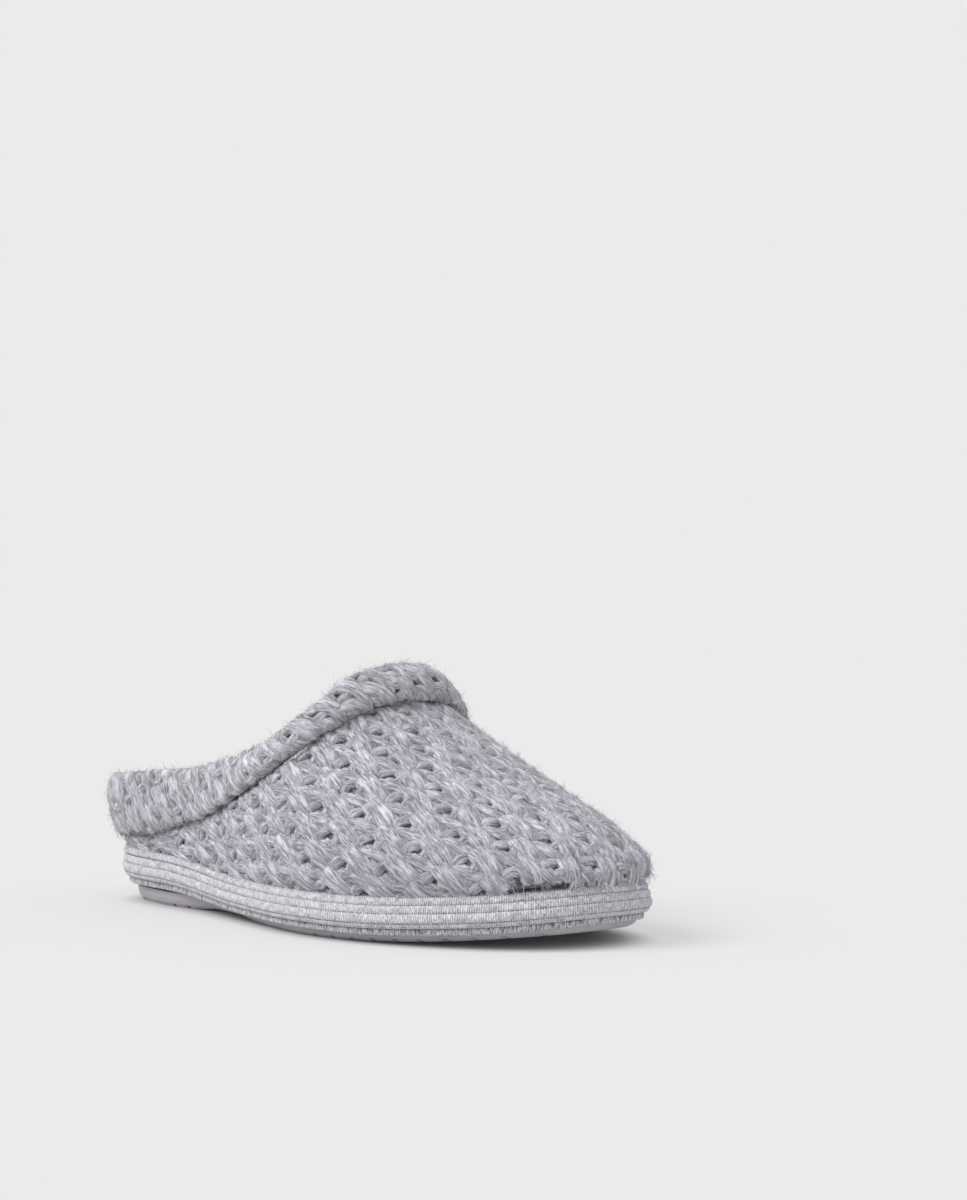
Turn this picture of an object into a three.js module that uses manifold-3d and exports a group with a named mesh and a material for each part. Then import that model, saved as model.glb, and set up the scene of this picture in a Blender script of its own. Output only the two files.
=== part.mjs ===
// Knitted slipper with a folded cuff and a wrapped platform sole, right foot, sizes in mm.
// While it is built the heel's back is at x = 0, the toe points to +X, the inner side of the
// foot is +Y and the floor is z = 0. The last lines move the group to its final origin.
import * as THREE from 'three';
import { mergeVertices } from 'three/addons/utils/BufferGeometryUtils.js';
import Module from 'manifold-3d';

const wasm = await Module();
wasm.setup();

// Driving sizes of the sole.
const LENGTH = 262;
const BALL_WIDTH = 106;
const BAND_HEIGHT = 13.6;
const BAND_STEP = 3.4;
const TOE_SPRING = 7;
const SPRING_START = 0.62;
const HEEL_RUBBER = 6.2;
const BALL_RUBBER = 2.8;
const TOE_RUBBER = 2.4;
const ARCH_LIFT = 1.3;
const RUBBER_INSET = 5.8;
const RUBBER_ROUND = 2.6;
const HEEL_SETBACK = 2.2;
const WAIST_SETBACK = 1.8;
const GAP = 0.3;

// Driving sizes of the upper, the cuff and the footbed.
const UPPER_HEIGHT = 82;
const UPPER_INSET = 2;
const WALL = 4.5;
const BULGE = 3;
const CUFF_HEIGHT = 25;
const CUFF_THICKNESS = 9;
const CUFF_OVERLAP = 1.8;
const CUFF_STAND_OUT = 1.6;
const FOOTBED_THICKNESS = 3.5;
const FOOTBED_PLAY = 1.2;

// Mesh divisions.
const HALF_STATIONS = 38;
const STATIONS = 2 * HALF_STATIONS;
const RIB_STEPS = 14;

// Outline of the sole seen from above, as shares of the length and of the ball width.
const LATERAL_SIDE = [
  { along: 0.012, across: -0.168 },
  { along: 0.055, across: -0.285 },
  { along: 0.14, across: -0.347 },
  { along: 0.29, across: -0.382 },
  { along: 0.44, across: -0.468 },
  { along: 0.59, across: -0.548 },
  { along: 0.72, across: -0.528 },
  { along: 0.84, across: -0.432 },
  { along: 0.93, across: -0.295 },
  { along: 0.985, across: -0.13 },
];
const MEDIAL_SIDE = [
  { along: 0.985, across: 0.19 },
  { along: 0.93, across: 0.325 },
  { along: 0.84, across: 0.418 },
  { along: 0.72, across: 0.448 },
  { along: 0.57, across: 0.415 },
  { along: 0.42, across: 0.352 },
  { along: 0.28, across: 0.335 },
  { along: 0.14, across: 0.335 },
  { along: 0.055, across: 0.282 },
  { along: 0.012, across: 0.172 },
];
const TOE_TIP = { along: 1, across: 0.03 };
const HEEL_BACK = { along: 0, across: 0 };

// Top ridge of the last, from the ankle to the toe: height over the platform as a share of
// the upper's height, and shift toward the inner side as a share of the ball width.
const RIDGE = [
  { along: 0.16, height: 0.88, shift: 0.03 },
  { along: 0.3, height: 0.987, shift: 0.047 },
  { along: 0.42, height: 1.03, shift: 0.066 },
  { along: 0.5, height: 0.977, shift: 0.075 },
  { along: 0.58, height: 0.837, shift: 0.075 },
  { along: 0.65, height: 0.708, shift: 0.07 },
  { along: 0.72, height: 0.593, shift: 0.066 },
  { along: 0.79, height: 0.48, shift: 0.057 },
  { along: 0.85, height: 0.388, shift: 0.047 },
  { along: 0.92, height: 0.3, shift: 0.047 },
  { along: 1, height: 0.21, shift: 0.047 },
];

// Where a rib that starts on the outline ends on the ridge, both as shares of the length.
const RIB_ENDS = [
  { start: 0, end: 0.16 },
  { start: 0.02, end: 0.165 },
  { start: 0.1, end: 0.19 },
  { start: 0.3, end: 0.33 },
  { start: 0.5, end: 0.51 },
  { start: 0.7, end: 0.69 },
  { start: 0.88, end: 0.815 },
  { start: 0.98, end: 0.848 },
  { start: 1, end: 0.85 },
];

// Seam between the upper and the cuff in side view: share of the length, and height over the
// platform as a share of the upper's height.
const SEAM = [
  { along: -0.1, height: 0.088 },
  { along: 0.05, height: 0.093 },
  { along: 0.12, height: 0.105 },
  { along: 0.2, height: 0.138 },
  { along: 0.3, height: 0.234 },
  { along: 0.4, height: 0.35 },
  { along: 0.47, height: 0.442 },
  { along: 0.53, height: 0.562 },
  { along: 0.57, height: 0.69 },
  { along: 0.588, height: 0.824 },
  { along: 0.594, height: 0.97 },
];

// Height of the cuff along the foot, as a share of its height at the heel.
const CUFF_PROFILE = [
  { along: 0, height: 0.97 },
  { along: 0.1, height: 1.1 },
  { along: 0.2, height: 1.06 },
  { along: 0.3, height: 0.88 },
  { along: 0.4, height: 0.76 },
  { along: 0.47, height: 0.64 },
  { along: 0.53, height: 0.52 },
  { along: 0.57, height: 0.54 },
  { along: 0.59, height: 0.84 },
];

// Side of the wrapped band, bottom to top: shares of its height, and of the step by which
// its edges stand in from the widest row.
const BAND_ROWS = [
  { height: 0, inset: 1 },
  { height: 0.04, inset: 0.88 },
  { height: 0.18, inset: 0.88 },
  { height: 0.19, inset: 0.53 },
  { height: 0.315, inset: 0.2 },
  { height: 0.33, inset: 0.3 },
  { height: 0.36, inset: 0.1 },
  { height: 0.455, inset: 0 },
  { height: 0.565, inset: 0.12 },
  { height: 0.59, inset: 0.32 },
  { height: 0.62, inset: 0.24 },
  { height: 0.72, inset: 0.26 },
  { height: 0.785, inset: 0.44 },
  { height: 0.8, inset: 0.62 },
  { height: 0.83, inset: 0.53 },
  { height: 0.925, inset: 0.62 },
  { height: 1, inset: 0.94 },
];

// Side of the rubber, bottom to top: shares of its thickness and of its rounding.
const RUBBER_ROWS = [
  { height: 0, inset: 1 },
  { height: 0.25, inset: 0.46 },
  { height: 0.55, inset: 0.15 },
  { height: 1, inset: 0 },
];

// Cross grooves of the tread, as shares of the length; wide lands stay at heel and ball.
const HEEL_GROOVES = [0.05, 0.085, 0.195, 0.23];
const FRONT_GROOVES = [0.47, 0.615, 0.65, 0.685, 0.72, 0.755, 0.79, 0.825, 0.86, 0.895, 0.93];
const GROOVE_WIDTH = 2;
const GROOVE_DEPTH = 1.2;

function smoothStep(from, to, value) {
  const t = Math.min(Math.max((value - from) / (to - from), 0), 1);
  return t * t * (3 - 2 * t);
}

// Monotone cubic interpolation of a table with named columns.
function lookUp(table, xName, yName, x) {
  const last = table.length - 1;
  if (x <= table[0][xName]) return table[0][yName];
  if (x >= table[last][xName]) return table[last][yName];
  let k = 0;
  while (x > table[k + 1][xName]) k += 1;
  const slope = (i) => (table[i + 1][yName] - table[i][yName]) / (table[i + 1][xName] - table[i][xName]);
  const tangent = (i) => {
    if (i === 0) return slope(0);
    if (i === last) return slope(last - 1);
    const a = slope(i - 1);
    const b = slope(i);
    return a * b <= 0 ? 0 : (2 * a * b) / (a + b);
  };
  const width = table[k + 1][xName] - table[k][xName];
  const t = (x - table[k][xName]) / width;
  const h00 = 2 * t ** 3 - 3 * t ** 2 + 1;
  const h10 = t ** 3 - 2 * t ** 2 + t;
  const h01 = -2 * t ** 3 + 3 * t ** 2;
  const h11 = t ** 3 - t ** 2;
  return h00 * table[k][yName] + h10 * width * tangent(k)
    + h01 * table[k + 1][yName] + h11 * width * tangent(k + 1);
}

// Height of the tread, thickness of the rubber and height of the platform's top, by share.
const lift = (share) => TOE_SPRING * Math.max((share - SPRING_START) / (1 - SPRING_START), 0) ** 2;
const archLift = (share) => ARCH_LIFT * smoothStep(0.24, 0.3, share) * (1 - smoothStep(0.38, 0.45, share));
function rubber(share) {
  return HEEL_RUBBER + (BALL_RUBBER - HEEL_RUBBER) * smoothStep(0.18, 0.42, share)
    + (TOE_RUBBER - BALL_RUBBER) * smoothStep(0.7, 1, share);
}
const platformTop = (share) => lift(share) + rubber(share) + BAND_HEIGHT;

// Height above the floor of a table whose heights are taken from the platform's top.
function heightAt(table, share) {
  return platformTop(share) + UPPER_HEIGHT * lookUp(table, 'along', 'height', share);
}

// Closed outline: point 0 is the heel's back, then the lateral side to the toe and back.
const outlineCurve = new THREE.CatmullRomCurve3(
  [HEEL_BACK, ...LATERAL_SIDE, TOE_TIP, ...MEDIAL_SIDE].map(
    (row) => new THREE.Vector3(row.along * LENGTH, row.across * BALL_WIDTH, 0),
  ),
  true,
  'centripetal',
);
const SPANS = LATERAL_SIDE.length + MEDIAL_SIDE.length + 2;
const SPAN_STEPS = 60;
outlineCurve.arcLengthDivisions = SPANS * SPAN_STEPS;
const lengthsAlong = outlineCurve.getLengths();
const toeShare = lengthsAlong[(LATERAL_SIDE.length + 1) * SPAN_STEPS] / lengthsAlong.at(-1);

// Outline drawn in by an inset, with half the points on each side of the toe tip.
function outline(inset, half) {
  const points = [];
  for (let i = 0; i < 2 * half; i += 1) {
    const share = i <= half ? (i / half) * toeShare : toeShare + ((i - half) / half) * (1 - toeShare);
    const point = outlineCurve.getPointAt(share);
    const tangent = outlineCurve.getTangentAt(share);
    points.push(new THREE.Vector2(point.x - tangent.y * inset, point.y + tangent.x * inset));
  }
  return points;
}

// Closed solid from stacked rings with equal counts; both ends are capped across the foot.
function loftRings(rings) {
  const count = rings[0].length;
  const half = count / 2;
  const positions = rings.flat().flatMap((p) => [p.x, p.y, p.z]);
  const index = [];
  for (let r = 0; r < rings.length - 1; r += 1) {
    for (let i = 0; i < count; i += 1) {
      const a = r * count + i;
      const b = r * count + ((i + 1) % count);
      index.push(a, b, b + count, a, b + count, a + count);
    }
  }
  const cap = (base, flip) => {
    const add = (a, b, c) => index.push(base + a, base + (flip ? c : b), base + (flip ? b : c));
    add(0, 1, count - 1);
    for (let i = 1; i < half - 1; i += 1) {
      add(i, i + 1, count - i);
      add(i + 1, count - i - 1, count - i);
    }
    add(half - 1, half, half + 1);
  };
  cap(0, true);
  cap((rings.length - 1) * count, false);
  return geometryFrom(positions, index);
}

function geometryFrom(positions, index) {
  const geometry = new THREE.BufferGeometry();
  geometry.setAttribute('position', new THREE.Float32BufferAttribute(positions, 3));
  geometry.setIndex(index);
  return geometry;
}

function toManifold(source) {
  const bare = source.clone();
  bare.deleteAttribute('normal');
  bare.deleteAttribute('uv');
  const welded = mergeVertices(bare, 1e-4);
  return new wasm.Manifold(new wasm.Mesh({
    numProp: 3,
    vertProperties: new Float32Array(welded.attributes.position.array),
    triVerts: new Uint32Array(welded.index.array),
  }));
}

function toGeometry(solid) {
  const mesh = solid.getMesh();
  return geometryFrom(Array.from(mesh.vertProperties), Array.from(mesh.triVerts));
}

function box(sizeX, sizeY, sizeZ, x, y, z) {
  return toManifold(new THREE.BoxGeometry(sizeX, sizeY, sizeZ).translate(x, y, z));
}

// Last form: ribs climb from the outline to the ridge, fullest beside the instep.
// `drop` lowers the foot of the form, `shrink` brings its whole skin inward.
function lastRibs(shrink, drop, half, steps) {
  const base = outline(UPPER_INSET + shrink, half);
  const count = base.length;
  const shares = base.map((point) => point.x / LENGTH);
  const endShare = (i) => {
    const other = (count - i) % count;
    const own = lookUp(RIB_ENDS, 'start', 'end', shares[i]);
    return (own + lookUp(RIB_ENDS, 'start', 'end', shares[other])) / 2;
  };
  return base.map((foot, i) => {
    const share = shares[i];
    const end = endShare(i);
    const ridgeY = lookUp(RIDGE, 'along', 'shift', end) * BALL_WIDTH;
    const across = new THREE.Vector2(end * LENGTH - foot.x, ridgeY - foot.y);
    const outward = across.clone().normalize();
    const footZ = platformTop(share) + GAP - drop;
    const toe = smoothStep(0.75, 1, share);
    const instep = smoothStep(0.4, 0.52, share) * (1 - smoothStep(0.6, 0.8, share));
    const medial = foot.y > 0 ? instep : 0;
    const sidePower = 2 / (2.35 + 0.1 * toe + 0.2 * instep + 0.25 * medial);
    const topPower = 2 / (2.15 - 0.1 * toe + 0.1 * instep + 0.1 * medial);
    const rib = [];
    for (let j = 0; j <= steps; j += 1) {
      const angle = (j / steps) * (Math.PI / 2);
      const inward = 1 - Math.max(Math.cos(angle), 0) ** sidePower;
      const bulge = BULGE * (1 - 0.2 * toe) * Math.sin(Math.PI * Math.min(j / steps / 0.42, 1));
      const x = foot.x + across.x * inward - outward.x * bulge;
      const y = foot.y + across.y * inward - outward.y * bulge;
      const topZ = heightAt(RIDGE, x / LENGTH) - shrink;
      rib.push(new THREE.Vector3(x, y, footZ + (topZ - footZ) * Math.sin(angle) ** topPower));
    }
    return rib;
  });
}

// Closed solid of a last form; ribs of the two sides share their ridge points.
function lastSolid(shrink, drop) {
  const ribs = lastRibs(shrink, drop, HALF_STATIONS, RIB_STEPS);
  const count = ribs.length;
  const half = count / 2;
  const positions = [];
  for (let j = 0; j < RIB_STEPS; j += 1) {
    for (const rib of ribs) positions.push(rib[j].x, rib[j].y, rib[j].z);
  }
  const ridgeStart = RIB_STEPS * count;
  for (let i = 0; i <= half; i += 1) {
    const top = ribs[i][RIB_STEPS];
    positions.push(top.x, top.y, top.z);
  }
  const vertex = (j, i) => {
    const k = (i + count) % count;
    if (j < RIB_STEPS) return j * count + k;
    return ridgeStart + (k <= half ? k : count - k);
  };
  const index = [];
  const add = (a, b, c) => {
    if (a !== b && b !== c && c !== a) index.push(a, b, c);
  };
  for (let j = 0; j < RIB_STEPS; j += 1) {
    for (let i = 0; i < count; i += 1) {
      add(vertex(j, i), vertex(j, i + 1), vertex(j + 1, i + 1));
      add(vertex(j, i), vertex(j + 1, i + 1), vertex(j + 1, i));
    }
  }
  add(0, count - 1, 1);
  for (let i = 1; i < half - 1; i += 1) {
    add(i, count - i, i + 1);
    add(i + 1, count - i, count - i - 1);
  }
  add(half - 1, half + 1, half);
  return toManifold(geometryFrom(positions, index));
}

// Height of the seam above a point of the foot; ahead of the throat nothing is cut.
function seamHeight(x) {
  const share = x / LENGTH;
  const last = SEAM[SEAM.length - 1];
  return share >= last.along ? Infinity : heightAt(SEAM, share);
}

// Everything behind and above the seam, as one slab across the foot.
function openingTool() {
  const shape = new THREE.Shape();
  const first = SEAM[0];
  const last = SEAM[SEAM.length - 1];
  const steps = 44;
  const top = 2 * (UPPER_HEIGHT + BAND_HEIGHT);
  shape.moveTo(first.along * LENGTH, top);
  for (let i = 0; i <= steps; i += 1) {
    const share = first.along + ((last.along - first.along) * i) / steps;
    shape.lineTo(share * LENGTH, heightAt(SEAM, share));
  }
  shape.lineTo(last.along * LENGTH, top);
  const slab = new THREE.ExtrudeGeometry(shape, { depth: 2 * BALL_WIDTH, bevelEnabled: false });
  slab.translate(0, 0, -BALL_WIDTH);
  slab.rotateX(Math.PI / 2);
  return toManifold(slab);
}

// Seam line in space on the middle of the wall, with the wall's outward normal at each point.
function seamLine() {
  const steps = 60;
  const ribs = lastRibs(WALL / 2, 0, 120, steps);
  const count = ribs.length;
  const above = ribs.map((rib) => rib.map((p) => p.z - seamHeight(p.x)));
  const line = [];
  const cross = (i, j, k, m) => {
    if ((above[i][j] < 0) === (above[k][m] < 0)) return;
    const finite = Number.isFinite(above[i][j]) && Number.isFinite(above[k][m]);
    const t = finite ? above[i][j] / (above[i][j] - above[k][m]) : 0.5;
    const along = ribs[(i + 1) % count][j].clone().sub(ribs[(i + count - 1) % count][j]);
    const climb = ribs[i][Math.min(j + 1, steps)].clone().sub(ribs[i][Math.max(j - 1, 0)]);
    line.push({ point: ribs[i][j].clone().lerp(ribs[k][m], t), normal: along.cross(climb).normalize() });
  };
  for (let i = 0; i < count; i += 1) {
    for (let j = 0; j < steps; j += 1) {
      cross(i, j, i, j + 1);
      cross(i, j, (i + 1) % count, j);
    }
  }
  const turn = ({ point }) => (Math.atan2(point.y, point.x - 0.3 * LENGTH) + 2 * Math.PI) % (2 * Math.PI);
  return line.sort((a, b) => turn(a) - turn(b));
}

// Seam line resampled to equal steps, as points and normals.
function evenSeamLine(count) {
  const line = seamLine();
  const lengths = [0];
  for (let i = 0; i < line.length; i += 1) {
    lengths.push(lengths[i] + line[i].point.distanceTo(line[(i + 1) % line.length].point));
  }
  const total = lengths[line.length];
  const stations = [];
  let k = 0;
  for (let i = 0; i < count; i += 1) {
    const target = (i / count) * total;
    while (lengths[k + 1] < target) k += 1;
    const t = (target - lengths[k]) / (lengths[k + 1] - lengths[k]);
    const next = line[(k + 1) % line.length];
    stations.push({
      point: line[k].point.clone().lerp(next.point, t),
      normal: line[k].normal.clone().lerp(next.normal, t).normalize(),
    });
  }
  return stations;
}

// Folded cuff: a puffy oblong section carried along the seam line, leaning out at the heel.
// Its foot hangs just over the seam and is cut to stand clear of the upper.
function cuffSolid() {
  const stations = evenSeamLine(STATIONS);
  const sectionSteps = 14;
  const squareness = 2 / 2.7;
  const rings = stations.map((station, i) => {
    const ahead = stations[(i + 1) % STATIONS].point;
    const behind = stations[(i + STATIONS - 1) % STATIONS].point;
    const tangent = ahead.clone().sub(behind).normalize();
    const heel = 1 - smoothStep(0, 0.3, station.point.x / LENGTH);
    const throat = smoothStep(0.4, 0.58, station.point.x / LENGTH);
    const up = tangent.clone().cross(station.normal).normalize();
    if (up.z < 0) up.negate();
    up.addScaledVector(station.normal, 0.04 * heel);
    up.z += 0.4 * throat;
    up.normalize();
    const out = tangent.clone().cross(up).normalize();
    if (out.dot(station.normal) < 0) out.negate();
    const height = CUFF_HEIGHT * lookUp(CUFF_PROFILE, 'along', 'height', station.point.x / LENGTH);
    const centre = station.point.clone()
      .addScaledVector(up, height / 2 - CUFF_OVERLAP)
      .addScaledVector(out, CUFF_STAND_OUT * (1 + 0.4 * heel + 1.2 * throat));
    const ring = [];
    for (let k = 0; k < sectionSteps; k += 1) {
      const angle = ((k + 0.5) / sectionSteps) * 2 * Math.PI;
      const c = Math.cos(angle);
      const s = Math.sin(angle);
      ring.push(centre.clone()
        .addScaledVector(out, (CUFF_THICKNESS / 2) * Math.sign(c) * Math.abs(c) ** squareness)
        .addScaledVector(up, (height / 2) * Math.sign(s) * Math.abs(s) ** squareness));
    }
    return ring;
  });
  const positions = rings.flat().flatMap((p) => [p.x, p.y, p.z]);
  const index = [];
  for (let i = 0; i < STATIONS; i += 1) {
    for (let k = 0; k < sectionSteps; k += 1) {
      const a = i * sectionSteps + k;
      const b = i * sectionSteps + ((k + 1) % sectionSteps);
      const c = ((i + 1) % STATIONS) * sectionSteps + k;
      const d = ((i + 1) % STATIONS) * sectionSteps + ((k + 1) % sectionSteps);
      index.push(a, c, b, b, c, d);
    }
  }
  const seat = lastSolid(-GAP, 0).subtract(openingTool().translate(-GAP, 0, GAP));
  return toManifold(geometryFrom(positions, index)).subtract(seat);
}

function ring(inset, height) {
  return outline(inset, HALF_STATIONS).map(
    (point) => new THREE.Vector3(point.x, point.y, height(point.x / LENGTH)),
  );
}

function platformSolid() {
  return toManifold(loftRings(BAND_ROWS.map((row) => ring(
    BAND_STEP * row.inset,
    (share) => lift(share) + rubber(share) + BAND_HEIGHT * row.height,
  ))));
}

// Rubber outsole with rounded lower edge, set back under the waist, with cross grooves.
function outsoleSolid() {
  const heelSetback = (share) => HEEL_SETBACK * (1 - smoothStep(0.05, 0.2, share));
  const waist = (share) => smoothStep(0.2, 0.27, share) * (1 - smoothStep(0.38, 0.5, share));
  const floor = (share) => lift(share) + archLift(share);
  const thickness = (share) => rubber(share) - GAP - archLift(share);
  const rings = RUBBER_ROWS.map((row) => {
    const inset = RUBBER_INSET + RUBBER_ROUND * row.inset;
    return outline(inset, HALF_STATIONS).map((point) => {
      const share = point.x / LENGTH;
      const setback = heelSetback(share) + WAIST_SETBACK * waist(share);
      const x = Math.max(point.x, inset + HEEL_SETBACK);
      const y = point.y * (1 - setback / (0.4 * BALL_WIDTH));
      return new THREE.Vector3(x, y, floor(share) + thickness(share) * row.height);
    });
  });
  let solid = toManifold(loftRings(rings));
  for (const share of [...HEEL_GROOVES, ...FRONT_GROOVES]) {
    const depth = Math.min(GROOVE_DEPTH, 0.4 * rubber(share));
    const middle = floor(share) + depth - HEEL_RUBBER / 2;
    solid = solid.subtract(box(GROOVE_WIDTH, 2 * BALL_WIDTH, HEEL_RUBBER, share * LENGTH, 0, middle));
  }
  return solid;
}

function footbedSolid() {
  const inset = UPPER_INSET + WALL + FOOTBED_PLAY;
  const rise = (part) => (share) => platformTop(share) + GAP + part * FOOTBED_THICKNESS;
  return toManifold(loftRings([
    ring(inset + 0.1 * FOOTBED_THICKNESS, rise(0)),
    ring(inset, rise(0.2)),
    ring(inset, rise(0.7)),
    ring(inset + 0.35 * FOOTBED_THICKNESS, rise(1)),
  ]));
}

const upper = lastSolid(0, 0).subtract(lastSolid(WALL, WALL)).subtract(openingTool());

const knitGrey = new THREE.MeshStandardMaterial({ color: 0xa9a8ae, roughness: 0.95 });
const cuffGrey = new THREE.MeshStandardMaterial({ color: 0xa5a4ab, roughness: 0.95 });
const bandGrey = new THREE.MeshStandardMaterial({ color: 0xb9b8bd, roughness: 0.9 });
const rubberGrey = new THREE.MeshStandardMaterial({ color: 0xb4afb6, roughness: 0.7 });
const footbedGrey = new THREE.MeshStandardMaterial({ color: 0xb0aeb3, roughness: 0.95 });

const group = new THREE.Group();
group.name = 'knitted_slipper';
function addPiece(name, solid, material) {
  const mesh = new THREE.Mesh(toGeometry(solid), material);
  mesh.name = name;
  group.add(mesh);
}
addPiece('outsole', outsoleSolid(), rubberGrey);
addPiece('platform', platformSolid(), bandGrey);
addPiece('footbed', footbedSolid(), footbedGrey);
addPiece('upper', upper, knitGrey);
addPiece('cuff', cuffSolid(), cuffGrey);

// The origin goes to the middle of the box's bottom face.
const bounds = new THREE.Box3().setFromObject(group);
const centre = bounds.getCenter(new THREE.Vector3());
for (const mesh of group.children) mesh.geometry.translate(-centre.x, -centre.y, -bounds.min.z);

export default group;
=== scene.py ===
"""Knitted slipper: chunky knit upper and cuff, ribbed wrapped sole and rubber tread.

Lengths in this script are in millimetres and become metres when a mesh is made. The frame's
origin is the middle of the part's foot print: toe to +X, inner side of the foot to +Y.
"""
import math
import bpy
import numpy as np
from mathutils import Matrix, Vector
from mathutils.bvhtree import BVHTree


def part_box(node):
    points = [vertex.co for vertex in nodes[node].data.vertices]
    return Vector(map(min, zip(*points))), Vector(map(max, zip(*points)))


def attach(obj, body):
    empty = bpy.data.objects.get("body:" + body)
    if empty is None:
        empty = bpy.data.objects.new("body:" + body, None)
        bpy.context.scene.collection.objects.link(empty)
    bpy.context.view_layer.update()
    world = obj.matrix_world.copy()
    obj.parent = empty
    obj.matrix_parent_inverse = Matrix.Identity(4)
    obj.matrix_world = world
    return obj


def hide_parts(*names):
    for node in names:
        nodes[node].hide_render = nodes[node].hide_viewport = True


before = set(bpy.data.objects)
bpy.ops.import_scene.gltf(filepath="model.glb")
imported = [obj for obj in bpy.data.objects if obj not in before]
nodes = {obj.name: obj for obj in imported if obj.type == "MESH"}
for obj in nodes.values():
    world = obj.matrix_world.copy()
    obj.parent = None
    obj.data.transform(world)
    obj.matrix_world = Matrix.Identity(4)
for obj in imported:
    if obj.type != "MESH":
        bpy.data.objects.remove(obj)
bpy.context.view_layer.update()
rng = np.random.default_rng(7)
MM = 0.001


# Mesh helpers.

def make_piece(name, verts, faces, material, uv=None, values=None):
    """Smooth mesh object from millimetre points; uv and values hold one row per vertex."""
    mesh = bpy.data.meshes.new(name)
    mesh.from_pydata((np.asarray(verts) * MM).tolist(), [], [list(map(int, f)) for f in faces])
    mesh.update()
    if uv is not None:
        layer = mesh.uv_layers.new(name="UVMap")
        loops = np.empty(len(mesh.loops), dtype=np.int64)
        mesh.loops.foreach_get("vertex_index", loops)
        layer.data.foreach_set("uv", np.asarray(uv, float)[loops].ravel())
    if values is not None:
        # The tone attribute multiplies the base colour: besides a random tone, it carries painted shade
        # on the undersides of the yarn tubes and in the grooves of the band.
        attribute = mesh.attributes.new("tone", "FLOAT", "POINT")
        attribute.data.foreach_set("value", np.asarray(values, float).ravel())
    mesh.polygons.foreach_set("use_smooth", [True] * len(mesh.polygons))
    mesh.materials.append(material)
    piece = bpy.data.objects.new(name, mesh)
    bpy.context.scene.collection.objects.link(piece)
    return piece


def grid_faces(rows, columns, close_rows=False, close_columns=False):
    """Quads of a grid of points numbered row by row."""
    r = np.arange(rows if close_rows else rows - 1)
    c = np.arange(columns if close_columns else columns - 1)
    r, c = [x.ravel() for x in np.meshgrid(r, c, indexing="ij")]
    r2, c2 = (r + 1) % rows, (c + 1) % columns
    return np.stack([r * columns + c, r2 * columns + c, r2 * columns + c2, r * columns + c2], 1)


def unit(v):
    return v / np.maximum(np.linalg.norm(v, axis=-1, keepdims=True), 1e-12)


def tree_of(name):
    """Ray tree of a CAD node, in millimetres."""
    mesh = nodes[name].data
    mesh.calc_loop_triangles()
    points = np.empty(len(mesh.vertices) * 3)
    mesh.vertices.foreach_get("co", points)
    triangles = np.empty(len(mesh.loop_triangles) * 3, dtype=np.int64)
    mesh.loop_triangles.foreach_get("vertices", triangles)
    points = points.reshape(-1, 3) / MM
    triangles = triangles.reshape(-1, 3)
    return BVHTree.FromPolygons(points.tolist(), triangles.tolist()), points, triangles


upper_tree, _, _ = tree_of("upper")
platform_tree, _, _ = tree_of("platform")
cuff_tree, cuff_points, cuff_triangles = tree_of("cuff")

SOLE_LOW, SOLE_HIGH = [np.array(corner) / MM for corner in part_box("platform")]
HEEL_X, TOE_X = SOLE_LOW[0], SOLE_HIGH[0]
LENGTH = TOE_X - HEEL_X


# Outer surface of the upper as a grid: stations round the foot, rows from sole to ridge.

SIDE_X = (HEEL_X + 0.145 * LENGTH, HEEL_X + 0.785 * LENGTH)
AXIS = ((0.0, 5.0), (0.145, 5.0), (0.56, -0.5), (0.785, 4.5), (1.0, 6.5))
SIDE_STATIONS = 42
TOE_STATIONS = 30
HEEL_STATIONS = 10
ROWS = 24
TOE_DROP = 0.8
HEEL_RISE = 3.4
SIDE_RAY = 150
ROUND_RAY = 160
FOOT_LIFT = 0.8
TUCK_IN = 2.4
TUCK_DOWN = 2.6


def axis_y(x):
    shares, offsets = zip(*AXIS)
    return np.interp((x - HEEL_X) / LENGTH, shares, offsets)


def cast(tree, origin, direction):
    point, normal, _, _ = tree.ray_cast(Vector(origin), Vector(direction))
    return (None, None) if point is None else (np.array(point), np.array(normal))


def station_list():
    """Centre point and outward direction of each station, from the heel round the outer side."""
    stations = []
    for i in range(HEEL_STATIONS):
        turn = math.radians(180 + 90 * i / HEEL_STATIONS)
        stations.append((SIDE_X[0], turn, "heel"))
    for x in np.linspace(*SIDE_X, SIDE_STATIONS):
        stations.append((x, math.radians(270), "side"))
    for i in range(1, TOE_STATIONS):
        stations.append((SIDE_X[1], math.radians(-90 + 180 * i / TOE_STATIONS), "toe"))
    for x in np.linspace(*SIDE_X[::-1], SIDE_STATIONS):
        stations.append((x, math.radians(90), "side"))
    for i in range(1, HEEL_STATIONS + 1):
        turn = math.radians(90 + 90 * i / HEEL_STATIONS)
        stations.append((SIDE_X[0], turn, "heel"))
    return stations


def platform_height(x, y):
    point, _ = cast(platform_tree, (x, y, 200), (0, 0, -1))
    return None if point is None else point[2]


def toe_drop(x):
    """How far the wrap hangs over the tread towards the toe, and the knit's lower edge with it."""
    t = np.clip((x - HEEL_X - 0.62 * LENGTH) / (0.3 * LENGTH), 0, 1)
    return TOE_DROP * t * t * (3 - 2 * t)


def heel_rise(x):
    """How far the wrap climbs over the knit's lower edge towards the heel."""
    t = np.clip(1 - (x - HEEL_X) / (0.45 * LENGTH), 0, 1)
    return HEEL_RISE * t ** 1.2


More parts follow.
